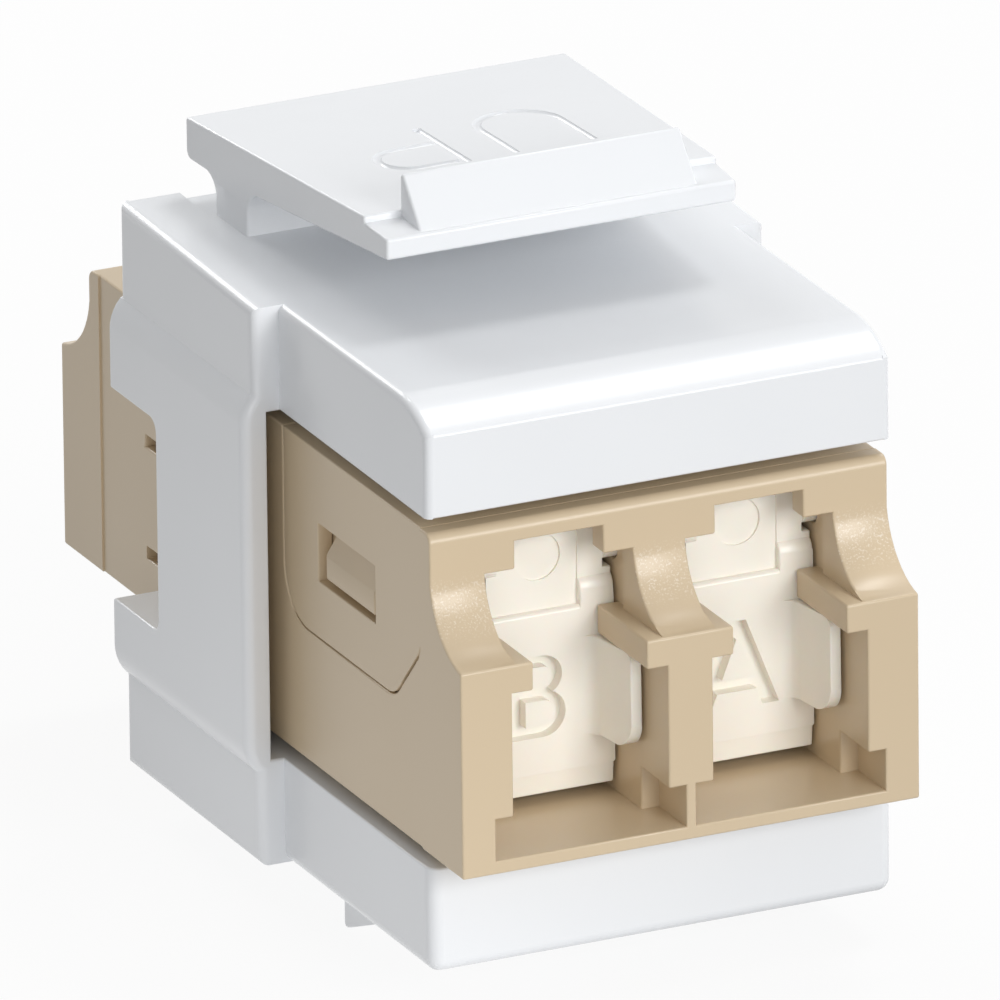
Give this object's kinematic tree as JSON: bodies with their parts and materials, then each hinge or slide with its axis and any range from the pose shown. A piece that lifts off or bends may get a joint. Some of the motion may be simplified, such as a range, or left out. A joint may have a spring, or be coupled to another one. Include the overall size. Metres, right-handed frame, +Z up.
{
  "type": "fibre optic adapter",
  "caption": "Snap-in keystone housing with a duplex LC fibre adapter, sprung shutter doors in its front ports and a latch lever on top.",
  "frame": {"origin": "middle of the housing's lower front edge, where its front face meets its underside", "axes": "+X to the right seen from the front, +Y along the ports to the rear, +Z up"},
  "size_m": [0.0168, 0.0294, 0.0224],
  "materials": {
    "white_plastic": "glossy moulded white",
    "beige_plastic": "satin moulded beige",
    "cream_plastic": "slightly translucent moulded cream",
    "spring_steel": "bright drawn wire",
    "zirconia": "ground ceramic"
  },
  "bodies": {
    "housing": {"keystone_housing": "white_plastic", "front_body": "beige_plastic", "rear_body": "beige_plastic", "shutter_cover": "beige_plastic", "shutter_spring_a": "spring_steel", "shutter_spring_b": "spring_steel", "alignment_sleeve_a": "zirconia", "alignment_sleeve_b": "zirconia"},
    "latch": {"latch_lever": "white_plastic"},
    "door_a": {"shutter_door_a": "cream_plastic"},
    "door_b": {"shutter_door_b": "cream_plastic"}
  },
  "joints": [
    {"name": "latch_flex", "type": "hinge", "parent": "housing", "child": "latch", "pos_m": [0, 0.01497, 0.01708], "axis": [1, 0, 0], "range_deg": [0, 10], "stiffness_Nm_per_rad": 0.2},
    {"name": "shutter_a", "type": "hinge", "parent": "housing", "child": "door_a", "pos_m": [0.00313, 0.00175, 0.0113], "axis": [1, 0, 0], "range_deg": [0, 90], "stiffness_Nm_per_rad": 0.0008, "springref_deg": -34.38, "deforming": ["shutter_spring_a"]},
    {"name": "shutter_b", "type": "hinge", "parent": "housing", "child": "door_b", "pos_m": [-0.00313, 0.00175, 0.0113], "axis": [1, 0, 0], "range_deg": [0, 90], "stiffness_Nm_per_rad": 0.0008, "springref_deg": -34.38, "deforming": ["shutter_spring_b"]}
  ]
}
